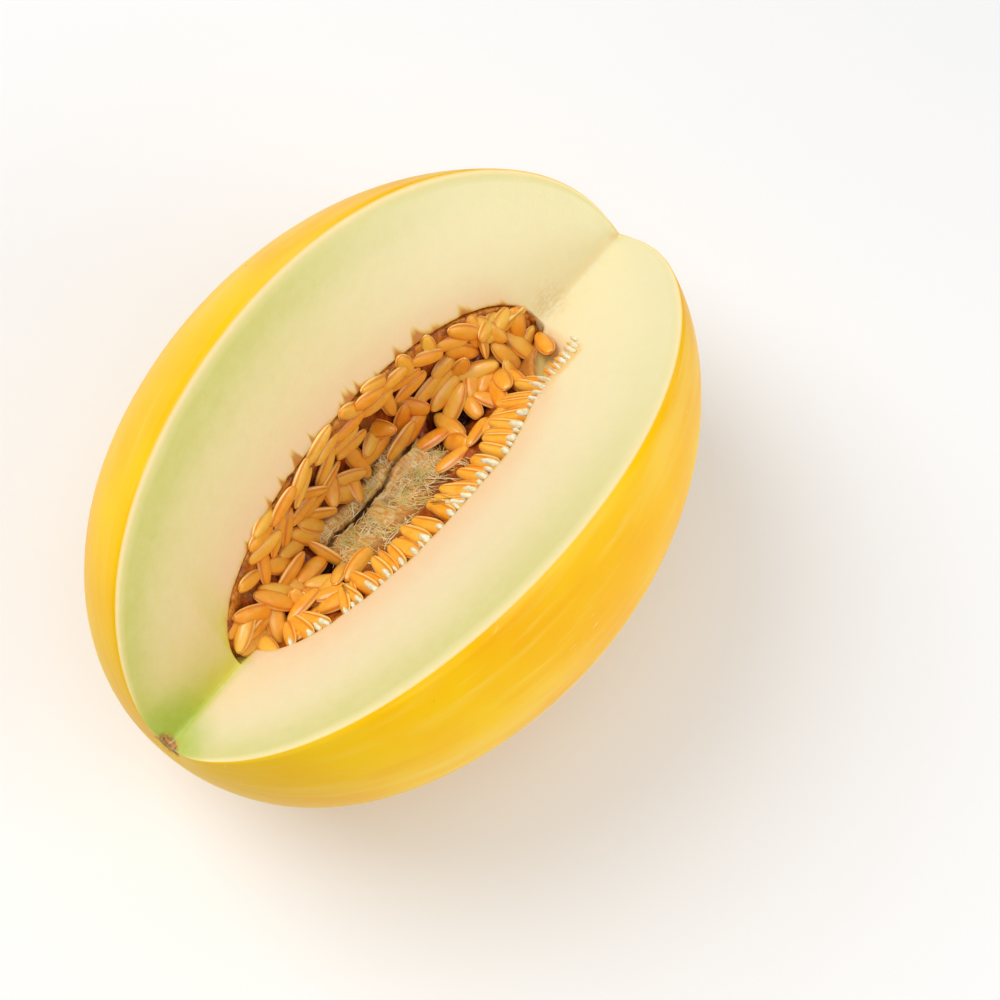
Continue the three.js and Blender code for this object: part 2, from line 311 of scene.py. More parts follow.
def fruitPiece(rindMaterial, fleshMaterial):
    look = fruitLook
    ends = [math.acos(np.clip(x / (melon["length"] / 2), -1, 1)) for x in (-0.0705, 0.0625)]
    turn = towardsPoint((math.pi, 0), ends, 0.05, 3, look["rows"])
    x, radius = outlineAt(turn)
    x, radius = x[:, None], radius[:, None]
    below = melon["cutBelowCore"] * np.clip(radius / (6 * mm), 0, 1)
    inner = cavityRadius(x)

    # rim: where the cut meets the rind, as a distance along the cut from where the two cuts would meet
    rim = diagonal * below + np.sqrt(np.clip(radius ** 2 - below ** 2 / 2, 0, None))
    rimAngle = np.arctan2(rim * diagonal, rim * diagonal - below)

    # the rind: round the underside, from one rim to the other
    part = np.linspace(0, 1, look["rindColumns"])[None]
    angle = rimAngle + part * (2 * math.pi - 2 * rimAngle)
    rindY, rindZ = radius * np.sin(angle), radius * np.cos(angle)

    # a cut: from rim to cavity, with more columns near both. side is 1 on the +Y cut and -1 on the other.
    walk = np.linspace(0, 1, look["faceColumns"] + 2)[None, 1:-1]
    walk = 0.5 * walk + 0.5 * (0.5 - 0.5 * np.cos(math.pi * walk))

    hollowed = openness(x)
    flower = ease((x - 36 * mm) / (14 * mm))
    valley = look["creaseRound"] * (1 - hollowed) * ease((radius - 4 * mm) / (16 * mm))

    def cut(side):
        edge = plusEdge(x) if side > 0 else minusEdge(x)
        ragged = lumps(np.stack([x, x * 0 + side, x * 0], -1), 3.1 * mm, 5)
        torn = np.clip(ragged, 0, 1) ** 1.5 * look["tornEdge"]
        edge = edge + torn * ease(inner / (6 * mm))
        far = rim + walk * (edge - rim)
        place = np.stack([x + 0 * far, side * far, 0 * far], -1)
        lift = look["knifeMarks"] * (lumps(place, 16 * mm, 2 + side) + 0.4 * lumps(place, 3 * mm, 7 + side))
        fromEdge = far - edge
        # at the flower end the -Y cut rolls off down a shelf, from the row of seeds into the cavity
        lift = lift * ease(fromEdge / (3 * mm)) - 0.4 * mm * hollowed * np.exp(-fromEdge / (0.8 * mm))
        if side < 0:
            shelf = np.maximum(0.6 * (rowReach(x) - edge), 3 * mm)
            lift = lift - look["shelfRoll"] * flower * hollowed * np.exp(-(fromEdge / shelf) ** 2)
        lift = lift * ease((rim - far) / (1.5 * mm))
        y = side * (far * diagonal - lift * diagonal)
        z = far * diagonal - below + lift * diagonal
        # where the cuts meet, a rounded valley takes the place of the sharp crease
        z = z + (np.sqrt(y ** 2 + valley ** 2) - np.abs(y)) * ease((rim - far) / (3 * mm))
        return y, z, rim - far, fromEdge

    plusY, plusZ, plusDepth, plusFrom = cut(1)
    minusY, minusZ, minusDepth, minusFrom = cut(-1)

    # the cavity's wall; where there is no cavity, a small curve joins the two cuts instead
    share = np.linspace(0, 1, look["cavityColumns"] + 2)[None, 1:-1]
    wallY, wallZ = wallPoint(x, share)
    startY, startZ, endY, endZ = plusY[:, -1:], plusZ[:, -1:], minusY[:, -1:], minusZ[:, -1:]
    lowZ = np.minimum(startZ, endZ)
    joinY = (1 - share) ** 2 * startY + share ** 2 * endY
    joinZ = (1 - share) ** 2 * startZ + 2 * share * (1 - share) * lowZ + share ** 2 * endZ
    hollow = ease(inner / (3 * mm))
    wallY, wallZ = joinY + (wallY - joinY) * hollow, joinZ + (wallZ - joinZ) * hollow

    # one ring: rind, +Y cut inwards, cavity wall, -Y cut outwards (the rind's angle runs from +Y to -Y)
    y = np.concatenate([rindY[:, ::-1], plusY, wallY, minusY[:, ::-1]], 1)
    z = np.concatenate([rindZ[:, ::-1], plusZ, wallZ, minusZ[:, ::-1]], 1)
    xs = x + 0 * y
    columns = y.shape[1]
    rindEnd = look["rindColumns"]

    # an uneven skin, and the flat that it rests on
    skin = np.stack([xs, y, z], -1)[:, :rindEnd]
    swell = look["unevenness"] * (lumps(skin, 45 * mm, 11) + 0.5 * lumps(skin, 20 * mm, 12))
    swell = swell * ease(np.abs(np.linspace(-1, 1, rindEnd))[None] * -8 + 8) * ease(radius / (14 * mm))
    outward = np.hypot(y[:, :rindEnd], z[:, :rindEnd]) + 1e-9
    y[:, :rindEnd] *= 1 + swell / outward
    z[:, :rindEnd] *= 1 + swell / outward
    floor = -coreHeight
    z[:, :rindEnd] = np.where(z[:, :rindEnd] < floor, floor, z[:, :rindEnd])

    zero = np.zeros_like(rindY)
    depth = np.concatenate([zero, plusDepth, rim + 0 * wallY, minusDepth[:, ::-1]], 1)
    toEdge = np.concatenate([zero + 0.03, plusFrom, 0 * wallY, minusFrom[:, ::-1]], 1)
    side = np.concatenate([np.linspace(0, 1, rindEnd)[None] + zero, plusY * 0 + 1,
                           1 - share + 0 * wallY, minusY * 0], 1)
    toRow = np.abs(rim - minusDepth - rowReach(x) - 0.5 * mm)
    toRow = np.concatenate([zero + 0.03, 0 * plusY + 0.03, 0 * wallY + 0.03, toRow[:, ::-1]], 1)
    around = np.stack([xs / melon["length"], np.unwrap(np.arctan2(y, z), axis=1) / (2 * math.pi), 0 * y], -1)
    closeness = 1 - openness(x) + 0 * y

    bands = np.ones(columns, int)
    bands[:rindEnd - 1] = 0
    grid = np.stack([xs, y, z + coreHeight], -1)
    fields = dict(depth=depth, toEdge=toEdge, toRow=toRow, side=side, around=around, crease=closeness)
    values = {key: field[None] for key, field in fields.items()}
    return gridPiece("melon", grid[None], [rindMaterial, fleshMaterial], bands, values)


def rindMaterial():
    # yellow with streaks from end to end, scars, dots and scratches
    material, tree, shader = newMaterial("yellowRind", 0.38, 0.35)
    shader.inputs["IOR"].default_value = 1.22
    place = objectPlace(tree)
    around = attribute(tree, "around", "Vector")
    streakPlace = addNode(tree, "Mapping", {"Vector": around, "Scale": (2.2, 26, 1)}).outputs["Vector"]
    finePlace = addNode(tree, "Mapping", {"Vector": around, "Scale": (5, 90, 1)}).outputs["Vector"]
    along = addNode(tree, "SeparateXYZ", {0: around}).outputs["X"]

    # golden yellow that turns deeper and paler in soft patches
    patches = noise(tree, place, 38 * mm, 2, 0.5, (0.35, 0.65))
    colour = mix(tree, patches, rgb(252, 186, 2), rgb(255, 203, 8))
    # pale streaks that run from end to end
    streaks = noise(tree, streakPlace, 1, 3, 0.55, (0.52, 0.72))
    colour = mix(tree, times(tree, streaks, 0.70), colour, rgb(255, 214, 88))
    fine = noise(tree, finePlace, 1, 3, 0.6, (0.55, 0.75))
    colour = mix(tree, times(tree, fine, 0.35), colour, rgb(255, 220, 110))
    deep = noise(tree, streakPlace, 0.6, 2, 0.5, (0.60, 0.78))
    colour = mix(tree, times(tree, deep, 0.45), colour, rgb(246, 168, 6))
    # greener towards the stem
    stem = span(tree, along, -0.50, -0.30, 1, 0, True)
    colour = mix(tree, times(tree, stem, 0.3), colour, rgb(214, 186, 20))

    # the scars where the stem and the flower came away
    far = distanceTo(tree, place, (-melon["length"] / 2, 0, coreHeight))
    wobble = times(tree, sums(tree, "SUBTRACT", noise(tree, place, 2 * mm, 3), 0.5), 4 * mm)
    scar = span(tree, sums(tree, "ADD", far, wobble), 3.0 * mm, 5.0 * mm, 1, 0, True)
    scarColour = mix(tree, noise(tree, place, 1 * mm, 4), rgb(96, 58, 22), rgb(196, 140, 60))
    colour = mix(tree, scar, colour, scarColour)
    tip = distanceTo(tree, place, (melon["length"] / 2, 0, coreHeight))
    tipScar = span(tree, sums(tree, "ADD", tip, wobble), 2.6 * mm, 3.6 * mm, 1, 0, True)
    colour = mix(tree, times(tree, tipScar, 0.8), colour, rgb(168, 118, 48))

    # tiny dark spots, and pale scratches here and there
    spots = addNode(tree, "TexVoronoi", {"Vector": place, "Scale": 1 / (9 * mm), "Randomness": 1.0})
    dots = span(tree, spots.outputs["Distance"], 0.030, 0.060, 1, 0)
    spotValue = addNode(tree, "SeparateXYZ", {0: spots.outputs["Color"]}).outputs["X"]
    chance = span(tree, spotValue, 0.70, 0.72, 0, 1)
    colour = mix(tree, times(tree, dots, times(tree, chance, 0.7)), colour, rgb(150, 96, 34))
    turned = {"Vector": place, "Scale": (0.3, 1, 0.8), "Rotation": (0.2, 0.1, 0.3)}
    scratchPlace = addNode(tree, "Mapping", turned)
    thin = noise(tree, scratchPlace.outputs["Vector"], 1.3 * mm, 4, 0.6, (0.62, 0.70))
    where = noise(tree, place, 24 * mm, 1, 0.5, (0.60, 0.70))
    scratches = times(tree, thin, where)
    colour = mix(tree, times(tree, scratches, 0.55), colour, rgb(255, 228, 160))
    tree.links.new(colour, shader.inputs["Base Color"])

    # fine pores, soft ribs from end to end, rough scars
    pores = noise(tree, place, 0.7 * mm, 2, 0.5)
    ribs = noise(tree, streakPlace, 1, 2, 0.5)
    height = sums(tree, "ADD", times(tree, pores, 0.25), times(tree, ribs, 0.8))
    height = sums(tree, "ADD", height, times(tree, scar, noise(tree, place, 1.2 * mm, 4)))
    bumpOf(tree, shader, height, 0.25 * mm, 0.6)
    rough = span(tree, sums(tree, "ADD", scar, scratches), 0, 1, 0.36, 0.75)
    tree.links.new(rough, shader.inputs["Roughness"])
    softInside(shader, 0.05, 1 * mm)
    return material


def fleshMaterial():
    # colours by the depth under the rind, then by the distance from the cavity's edge
    material, tree, shader = newMaterial("melonFlesh", 0.33, 0.5)
    place = objectPlace(tree)
    depth = sums(tree, "DIVIDE", attribute(tree, "depth"), 50 * mm)
    wander = times(tree, sums(tree, "SUBTRACT", noise(tree, place, 14 * mm, 3), 0.5), 0.10)
    inside = sums(tree, "ADD", depth, times(tree, wander, span(tree, depth, 0.03, 0.2, 0, 1)))
    toEdge = attribute(tree, "toEdge")
    side = attribute(tree, "side")
    crease = attribute(tree, "crease")
    x = addNode(tree, "SeparateXYZ", {0: place}).outputs["X"]

    # from the rind inwards: thin yellow skin, a cream line, green flesh that fades to cream and peach, in a
    # lit and a shaded copy
    shaded = ramp(tree, inside, [
        (0.000, rgb(250, 192, 50)), (0.007, rgb(251, 214, 110)), (0.018, rgb(252, 228, 170)),
        (0.050, rgb(226, 214, 130)), (0.10, rgb(207, 202, 98)), (0.20, rgb(211, 204, 108)),
        (0.30, rgb(223, 211, 134)), (0.42, rgb(232, 216, 150)), (0.62, rgb(240, 217, 160)),
        (0.85, rgb(242, 212, 160)),
    ])
    lit = ramp(tree, inside, [
        (0.000, rgb(250, 196, 56)), (0.007, rgb(252, 216, 116)), (0.018, rgb(253, 232, 180)),
        (0.050, rgb(238, 227, 166)), (0.10, rgb(222, 214, 142)), (0.20, rgb(224, 216, 150)),
        (0.32, rgb(232, 221, 166)), (0.45, rgb(238, 225, 180)), (0.65, rgb(243, 225, 186)),
        (0.85, rgb(246, 221, 180)),
    ])
    # painted light and shade: the -Y cut takes the lit copy and the +Y cut the darker shaded copy
    colour = mix(tree, side, lit, shaded)
    # paler towards the flower end
    pale = span(tree, x, -20 * mm, 75 * mm, 0, 0.75, True)
    soft = times(tree, pale, span(tree, depth, 0.03, 0.10, 0, 1))
    colour = mix(tree, soft, colour, rgb(246, 236, 190))
    # peach around the cavity
    hollow = sums(tree, "SUBTRACT", 1.0, crease)
    peach = times(tree, span(tree, toEdge, 0.5 * mm, 13 * mm, 0.75, 0, True), hollow)
    colour = mix(tree, peach, colour, rgb(247, 210, 166))

    # olive green along the crease at the stem end, broad and soft on the +Y cut, narrow on the other: the
    # flesh's own green near the stem, with painted crease shade in the broader, darker olive on the +Y cut
    stem = span(tree, x, -58 * mm, -72 * mm, 0, 1, True)
    tip = span(tree, x, -72 * mm, -94 * mm, 0, 1, True)
    sideways = sums(tree, "ADD", times(tree, side, 0.82), 0.18)
    nearer = sums(tree, "DIVIDE", toEdge, sideways)
    broad = span(tree, nearer, 1 * mm, 26 * mm, 0.8, 0, True)
    colour = mix(tree, times(tree, stem, broad), colour, rgb(220, 210, 104))
    olive = span(tree, nearer, 0.3 * mm, 8 * mm, 0.9, 0, True)
    colour = mix(tree, times(tree, stem, olive), colour, rgb(222, 208, 52))
    green = times(tree, tip, span(tree, nearer, 0.5 * mm, 15 * mm, 0.9, 0, True))
    colour = mix(tree, green, colour, rgb(176, 194, 30))
    # greener at the very tip on both cuts, and brown where the stem grew in
    stemEnd = distanceTo(tree, place, (-melon["length"] / 2, 0, coreHeight + 1 * mm))
    stemEnd = sums(tree, "ADD", stemEnd, times(tree, wander, 20 * mm))
    colour = mix(tree, span(tree, stemEnd, 3 * mm, 19 * mm, 0.8, 0, True), colour, rgb(176, 196, 50))
    bark = mix(tree, noise(tree, place, 1.2 * mm, 3, 0.6, (0.4, 0.6)), rgb(232, 150, 66), rgb(120, 62, 20))
    colour = mix(tree, span(tree, stemEnd, 2.4 * mm, 4.4 * mm, 0.9, 0, True), colour, bark)
    # and a faint brownish line along it at the flower end
    flower = span(tree, x, 58 * mm, 70 * mm, 0, 0.5, True)
    line = times(tree, flower, span(tree, nearer, 0.4 * mm, 5 * mm, 1, 0, True))
    colour = mix(tree, line, colour, rgb(252, 222, 150))

    # torn fibres: yellow-brown cusps that reach out from the cavity's edge, wherever slow chance values along
    # the melon pass their middle, with finer teeth between them
    teethPlace = addNode(tree, "Mapping", {"Vector": place, "Scale": (1, 0.06, 0.06)}).outputs["Vector"]
    slow = sums(tree, "ABSOLUTE", sums(tree, "SUBTRACT", noise(tree, teethPlace, 7 * mm, 1, 0.5), 0.5))
    cusps = span(tree, slow, 0.0, 0.11, 1, 0)
    tall = noise(tree, teethPlace, 9 * mm, 0, 0.5, (0.3, 0.6))
    teeth = noise(tree, teethPlace, 2.2 * mm, 3, 0.6, (0.40, 0.75))
    ragged = times(tree, cusps, times(tree, tall, 4.6 * mm))
    ragged = sums(tree, "ADD", ragged, times(tree, teeth, 1.0 * mm))
    reach = times(tree, ragged, sums(tree, "ADD", times(tree, side, 0.85), 0.15))
    outer = span(tree, sums(tree, "SUBTRACT", toEdge, reach), -0.6 * mm, 1.6 * mm, 1, 0, True)
    colour = mix(tree, times(tree, times(tree, outer, hollow), 0.92), colour,
                 rgb(232, 196, 84))
    stain = span(tree, sums(tree, "SUBTRACT", toEdge, reach), -1.8 * mm, 0.3 * mm, 1, 0, True)
    colour = mix(tree, times(tree, stain, hollow), colour, rgb(204, 122, 22))
    # the shelf at the flower end gets painted shade, darker and greener towards the cavity's edge and the
    # seeds
    shelf = times(tree, span(tree, x, 36 * mm, 46 * mm, 0, 1, True),
                 times(tree, sums(tree, "SUBTRACT", 1.0, side), hollow))
    shade = times(tree, shelf, span(tree, toEdge, 0, 12 * mm, 0.9, 0, True))
    colour = mix(tree, shade, colour, rgb(244, 208, 146))
    shade = times(tree, shelf, span(tree, toEdge, 0, 5 * mm, 0.9, 0, True))
    colour = mix(tree, shade, colour, rgb(214, 186, 96))
    along = times(tree, span(tree, x, 40 * mm, 48 * mm, 0, 1), span(tree, x, 56 * mm, 61 * mm, 1, 0))
    near = times(tree, along, span(tree, attribute(tree, "toRow"), 0.8 * mm, 3.4 * mm, 0.85, 0, True))
    colour = mix(tree, near, colour, rgb(246, 196, 106))
    wall = times(tree, span(tree, toEdge, 0.0, 0.35 * mm, 1, 0), hollow)
    colour = mix(tree, wall, colour, rgb(196, 112, 34))

    # faint veins and wet specks
    veins = noise(tree, place, 3.5 * mm, 4, 0.65, (0.3, 0.7))
    shreds = noise(tree, objectPlace(tree, (0.5, 1, 1)), 1.0 * mm, 5, 0.75)
    rough = span(tree, shreds, 0.4, 0.65, 0, 1)
    where = distanceTo(tree, place, (69 * mm, 2.5 * mm, coreHeight + 1 * mm))
    fibrous = span(tree, where, 3 * mm, 9 * mm, 0.75, 0, True)
    colour = mix(tree, fibrous, colour, mix(tree, rough, rgb(250, 214, 138), rgb(255, 246, 212)))
    colour = mix(tree, times(tree, veins, 0.10), colour, rgb(255, 244, 214))
    tree.links.new(colour, shader.inputs["Base Color"])

    patch = span(tree, where, 3 * mm, 9 * mm, 1, 0, True)
    grain = noise(tree, place, 1.1 * mm, 3, 0.6)
    fine = noise(tree, place, 0.35 * mm, 2, 0.5)
    height = sums(tree, "ADD", grain, times(tree, fine, 0.4))
    height = sums(tree, "ADD", height, times(tree, patch, times(tree, shreds, 6.0)))
    bumpOf(tree, shader, height, 0.10 * mm, 0.7)
    softInside(shader, 0.25, 2.5 * mm, (1.0, 0.75, 0.4))
    return material


pulpLook = dict(
    rows=320, topColumns=160, underColumns=34,
    hollowLength=118 * mm, hollowWidth=31 * mm, hollowDepth=27 * mm, hollowAboveCore=16 * mm,
    hollowSideways=4 * mm, creviceDepth=5 * mm, creviceWidth=0.7 * mm,
    strandsFrom=-32 * mm, strandsTo=17 * mm,
)


def creviceAt(x):
    # the line along which the pulp parts, in small bends
    return 5.3 * mm + 0.045 * x + 0.7 * mm * np.sin(x / (5.5 * mm)) + 0.35 * mm * np.sin(x / (2.1 * mm))


def strandsAt(x, y):
    # 1 on the felt of strands either side of the crevice, 0 elsewhere, with soft edges
    look = pulpLook
    along = ease((x - look["strandsFrom"]) / (6 * mm)) * ease((look["strandsTo"] - x) / (6 * mm))
    beside = y - creviceAt(x)
    return along * ease((beside + 16 * mm) / (10 * mm)) * ease((6.5 * mm - beside) / (4 * mm))


def pulpHeight(x, y, rough=True):
    # above the core: the lower of a slope below each cut and a bowl between them, joined softly; then
    # the felt is added, the crevice and the pits are taken off, and lumps in three sizes are added
    look = pulpLook
    inMinus = minusEdge(x) + y / diagonal
    inPlus = plusEdge(x) - y / diagonal
    sinkRow = 1.8 * mm + 3.4 * mm * ease(inMinus / (4 * mm))
    sinkHeap = 0.5 * mm + 2.0 * mm * ease(inPlus / (4 * mm))
    slope = np.abs(y) - melon["cutBelowCore"] - np.where(y < 0, sinkRow, sinkHeap)
    along = (x + melon["cavityTowardsStem"]) / (look["hollowLength"] / 2)
    across = (y - look["hollowSideways"]) / (look["hollowWidth"] / 2)
    inside = np.clip(1 - along ** 2 - across ** 2, 0, None)
    bowl = np.where(inside > 0, look["hollowAboveCore"] - look["hollowDepth"] * np.sqrt(inside), 1.0)
    soft = 1.2 * mm
    height = np.minimum(slope, bowl) - soft * np.log(1 + np.exp(-np.abs(slope - bowl) / soft)) - 1.0 * mm

    felt = strandsAt(x, y)
    fromCrevice = y - creviceAt(x)
    height = height + felt * 2.6 * mm
    if not rough:
        return height
    place = np.stack([x + 0 * y, y + 0 * x, 0 * (x + y)], -1)
    parting = 1 + 0.75 * lumps(place, 3.5 * mm, 31) + 0.6 * lumps(place, 1.2 * mm, 32)
    gash = np.exp(-(fromCrevice / look["creviceWidth"] / parting) ** 2)
    height = height - look["creviceDepth"] * ease(felt * 2) * gash * (0.75 + 0.35 * lumps(place, 6 * mm, 33))
    for spotX, spotY, wide, deep in ((25, 3.5, 5, 9), (30, 0, 4, 7), (-32, 0.5, 2.6, 5), (-2, 13, 2.5, 4)):
        far = ((x - spotX * mm) / (wide * mm)) ** 2 + ((y - spotY * mm) / (wide * 0.7 * mm)) ** 2
        height = height - deep * mm * np.exp(-far)
    bumpy = lumps(place, 5 * mm, 21) * 0.9 * mm + lumps(place, 2.2 * mm, 22) * 0.6 * mm
    bumpy = bumpy + lumps(place, 1 * mm, 23) * 0.25 * mm
    smooth = 1 - 0.85 * ease((x - 36 * mm) / (8 * mm)) * ease((2 * mm - y) / (6 * mm))
    return height + bumpy * smooth * ease(np.minimum(inMinus, inPlus) / (2 * mm))


def pulpPiece(material):
    look = pulpLook
    half = melon["cavityLength"] / 2
    turn = np.linspace(math.pi, 0, look["rows"])
    x = half * np.cos(turn)[:, None] - melon["cavityTowardsStem"]
    tuck = 0.25 * mm  # the pulp's rim is tucked into the flesh, so that no gap shows
    low, high = -(minusEdge(x) + tuck) * diagonal, (plusEdge(x) + tuck) * diagonal
    across = np.linspace(0, 1, look["topColumns"])[None]
    across = 0.6 * across + 0.4 * (0.5 - 0.5 * np.cos(math.pi * across))
    y = low + (high - low) * across
    z = pulpHeight(x, y)
    share = 0.02 + 0.96 * np.linspace(0, 1, look["underColumns"] + 2)[None, 1:-1]
    underY, underZ = wallPoint(x, share, tuck * 0.5)
    floor = -np.sqrt(np.clip((cavityRadius(x) * 0.94) ** 2 - y ** 2, 0, None))
    z = np.maximum(z, floor)
    # both ends taper to a point on the core's level
    tip = ease(cavityRadius(x) / (1.5 * mm))
    ys = np.concatenate([y, underY], 1) * tip
    zs = np.concatenate([z, underZ], 1) * tip - 0.6 * mm * (1 - tip)
    xs = x + 0 * ys

    # how far each point lies below its surroundings, for the painted shade between the seeds
    smooth = z.copy()
    for step in range(30):
        smooth[:, 1:-1] = (smooth[:, :-2] + smooth[:, 1:-1] + smooth[:, 2:]) / 3
        smooth[1:-1] = (smooth[:-2] + smooth[1:-1] + smooth[2:]) / 3
    sunk = np.concatenate([(smooth - z) / mm, 0 * underY], 1)
    shelf = ease((xs - 36 * mm) / (8 * mm)) * ease((2 * mm - ys) / (6 * mm))
    fromEdge = np.minimum(plusEdge(x) - y / diagonal, minusEdge(x) + y / diagonal)
    fringe = np.concatenate([np.exp(-np.clip(fromEdge, 0, None) / (1.8 * mm)), 0 * underY + 1], 1)
    fringe = np.maximum(fringe, 1 - openness(x))
    grid = np.stack([xs, ys, zs + coreHeight], -1)
    fields = dict(sunk=sunk, felt=strandsAt(xs, ys), shelf=shelf, fringe=fringe)
    values = {key: field[None] for key, field in fields.items()}
    return gridPiece("seedPulp", grid[None], [material], None, values)


strandLook = dict(count=760, thin=0.06 * mm, thick=0.17 * mm, length=(3 * mm, 9 * mm))


def strandPiece(material):
    # threads that lie on the felt and run towards the row of cut seeds or along the crevice: each follows a
    # bent path over the pulp's surface, arches a little and ends inside it
    look = strandLook
    chance = np.random.default_rng(17)
    count = look["count"]
    x = chance.uniform(pulpLook["strandsFrom"] + 2 * mm, pulpLook["strandsTo"] - 1 * mm, count)
    beside = chance.choice([-1, -1, -1, 1], count)
    length = chance.uniform(*look["length"], count) * np.where(beside < 0, 1, 0.7)
    yaw = np.where(chance.uniform(0, 1, count) < 0.55, -1.5, 0.1) + chance.normal(0, 0.4, count)
    clear = 0.5 * mm + np.abs(np.sin(yaw)) * length / 2
    outwards = chance.uniform(0, 1, count) ** 1.2 * np.where(beside < 0, 12.5 * mm, 2.5 * mm)
    y = creviceAt(x) + beside * (clear + outwards)
    steps = np.linspace(-0.5, 0.5, 12)[None]
    bend = chance.normal(0, 0.45, count)[:, None] * mm
    bend = bend * np.sin(steps * 5 + chance.uniform(0, 6, count)[:, None])
    pathX = x[:, None] + np.cos(yaw)[:, None] * steps * length[:, None] - np.sin(yaw)[:, None] * bend
    pathY = y[:, None] + np.sin(yaw)[:, None] * steps * length[:, None] + np.cos(yaw)[:, None] * bend
    arch = chance.uniform(0.05, 0.6, count)[:, None] * mm * np.cos(steps * math.pi)
    pathZ = pulpHeight(pathX, pathY, False) + arch - 0.35 * mm * (2 * np.abs(steps)) ** 4
    path = np.stack([pathX, pathY, pathZ + coreHeight], -1)
    run = np.gradient(path, axis=1)
    run /= np.linalg.norm(run, axis=-1, keepdims=True)
    sideways = np.cross(run, [0, 0, 1.0])
    sideways /= np.linalg.norm(sideways, axis=-1, keepdims=True)
    upwards = np.cross(sideways, run)
    angle = np.linspace(0, 2 * math.pi, 5, endpoint=False)
    thickness = chance.uniform(look["thin"], look["thick"], count)[:, None]
    thickness = thickness * np.cos(steps * math.pi * 0.96) ** 0.5
    ring = sideways[:, :, None] * np.cos(angle)[:, None] + upwards[:, :, None] * 0.7 * np.sin(angle)[:, None]
    grids = path[:, :, None] + ring * thickness[..., None, None]
    shade = np.broadcast_to(chance.uniform(0, 1, count)[:, None, None], grids.shape[:3])
    return gridPiece("pulpStrands", grids, [material], None, dict(tint=shade))


def strandMaterial():
    # pale threads, each with a tint of its own
    material, tree, shader = newMaterial("paleStrands", 0.3, 0.5)
    tint = attribute(tree, "tint")
    colour = mix(tree, tint, rgb(255, 208, 110), rgb(255, 252, 214))
    greener = noise(tree, objectPlace(tree), 4 * mm, 3, 0.5, (0.46, 0.7))
    colour = mix(tree, greener, colour, rgb(212, 208, 116))
    tree.links.new(colour, shader.inputs["Base Color"])
    return material


def pulpMaterial():
    # red-brown, orange at the flesh, pale on the felt, with painted shade where it lies deep
    material, tree, shader = newMaterial("wetPulp", 0.22, 0.6)
    place = objectPlace(tree)
    sunk = attribute(tree, "sunk")
    felt = attribute(tree, "felt")
    shelf = attribute(tree, "shelf")
    # red-brown to orange, its darkest patches pulled down as painted shade for the gaps between the seeds;
    # darker still where it lies deep, which is painted shade too
    patches = noise(tree, place, 4 * mm, 4, 0.6, (0.3, 0.7))
    colour = mix(tree, patches, rgb(92, 18, 2), rgb(184, 72, 6))
    threads = noise(tree, objectPlace(tree, (1, 0.25, 0.25)), 0.9 * mm, 4, 0.65, (0.45, 0.75))
    colour = mix(tree, times(tree, threads, 0.35), colour, rgb(238, 168, 62))
    # an orange fringe where the pulp holds on to the flesh
    frayed = span(tree, noise(tree, place, 2.6 * mm, 4, 0.65), 0.40, 0.58, 0, 1)
    colour = mix(tree, times(tree, attribute(tree, "fringe"), frayed), colour, rgb(246, 164, 40))
    # pale green-grey felt of strands beside the crevice
    matted = noise(tree, objectPlace(tree, (1, 0.3, 0.3)), 0.8 * mm, 5, 0.7, (0.38, 0.62))
    feltColour = mix(tree, matted, rgb(236, 160, 48), rgb(255, 238, 158))
    colour = mix(tree, times(tree, felt, 0.9), colour, feltColour)
    # smooth peach wall at the flower end
    shelfColour = mix(tree, patches, rgb(206, 132, 48), rgb(226, 164, 84))
    colour = mix(tree, times(tree, shelf, 0.85), colour, shelfColour)
    # painted shade: darkest where the pulp lies below its surroundings, between the seeds
    deep = span(tree, sunk, 0.1, 1.6, 0, 1, True)
    colour = mix(tree, times(tree, deep, 0.85), colour, rgb(84, 20, 2))
    tree.links.new(colour, shader.inputs["Base Color"])
    height = sums(tree, "ADD", noise(tree, place, 0.9 * mm, 4, 0.65), times(tree, threads, 0.5))
    bumpOf(tree, shader, height, 0.4 * mm, 0.8)
    shader.inputs["Coat Weight"].default_value = 0.5
    shader.inputs["Coat Roughness"].default_value = 0.12
    softInside(shader, 0.3, 2.5 * mm, (1.0, 0.5, 0.2))
    return material


seedLook = dict(length=12.6 * mm, width=5.6 * mm, thickness=2.5 * mm, rows=22, columns=24)


def seedSkin(length, width, thickness, rows, columns, bend=0.0):
    # a flattened teardrop: across, the sine of the way along to a power that grows from the blunt end to the
    # pointed one; through, the same to a higher power, with a sharper edge all round. +X is the pointed end.
    along = np.linspace(0, 1, rows)[:, None]
    turn = math.pi * along
    wide = np.sin(turn) ** (0.62 + 0.45 * along) * (1 - 0.28 * (along - 0.5))
    angle = np.linspace(0, 2 * math.pi, columns, endpoint=False)[None]
    x = -length / 2 * np.cos(turn) + 0 * angle
    y = width / 2 * wide * np.cos(angle)
    through = thickness / 2 * np.sin(turn) ** (0.75 + 0.25 * along)
    z = through * np.sign(np.sin(angle)) * np.abs(np.sin(angle)) ** 1.4
    z = z + bend * (x / (length / 2)) ** 2
    return np.stack([x, y, z], -1)


def seedEdge(rows, columns):
    # 1 on a seed's sharp edge and at its pointed tip, 0 on its flat sides
    along = np.linspace(0, 1, rows)[:, None]
    angle = np.linspace(0, 2 * math.pi, columns, endpoint=False)[None]
    return np.maximum(np.abs(np.cos(angle)) ** 9 + 0 * along, ease((along - 0.88) / 0.12) + 0 * angle)


